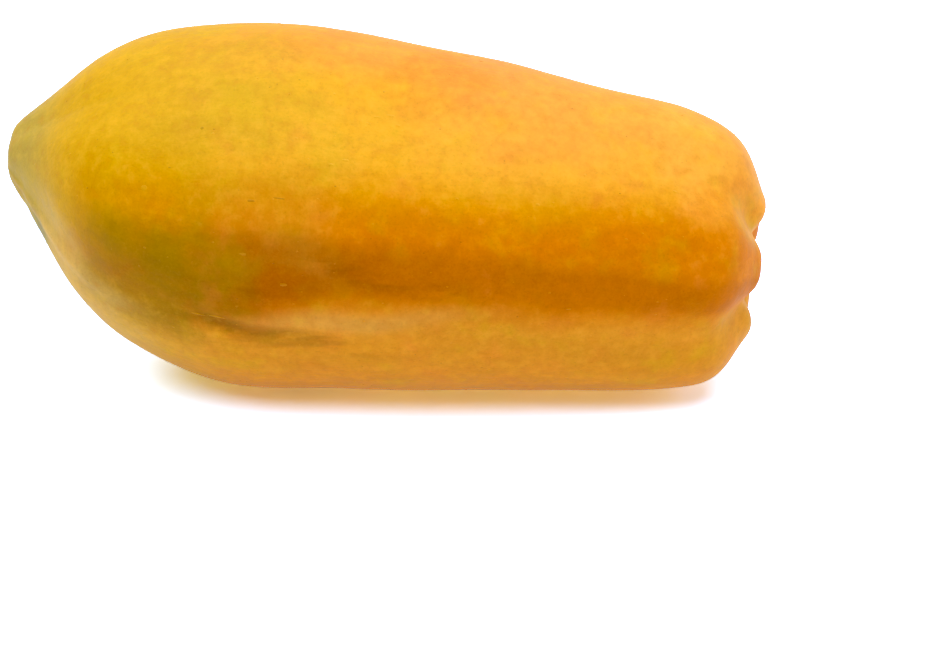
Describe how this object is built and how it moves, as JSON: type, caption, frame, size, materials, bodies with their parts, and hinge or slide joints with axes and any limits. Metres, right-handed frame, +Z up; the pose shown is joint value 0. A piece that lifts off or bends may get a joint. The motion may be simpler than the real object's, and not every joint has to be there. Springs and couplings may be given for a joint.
{
  "type": "papaya",
  "caption": "Whole ripe papaya lying on its side: a long pear-shaped fruit with soft lobes, a blunt blossom tip and a dried stalk stub in the hollow of its stem end.",
  "frame": {"origin": "middle of the fruit's box in X and Y, on the surface that the fruit rests on", "axes": "+X towards the stem end, level; +Z up; +Y across the fruit"},
  "size_m": [0.241, 0.1148, 0.1151],
  "materials": {
    "skin": "satin, slightly waxy ripe skin, golden yellow to orange with olive and green patches",
    "dried_stalk": "matt, dry and fibrous, dark brown"
  },
  "bodies": {
    "root": {"fruit": "skin", "stalk_stub": "dried_stalk"}
  },
  "joints": []
}
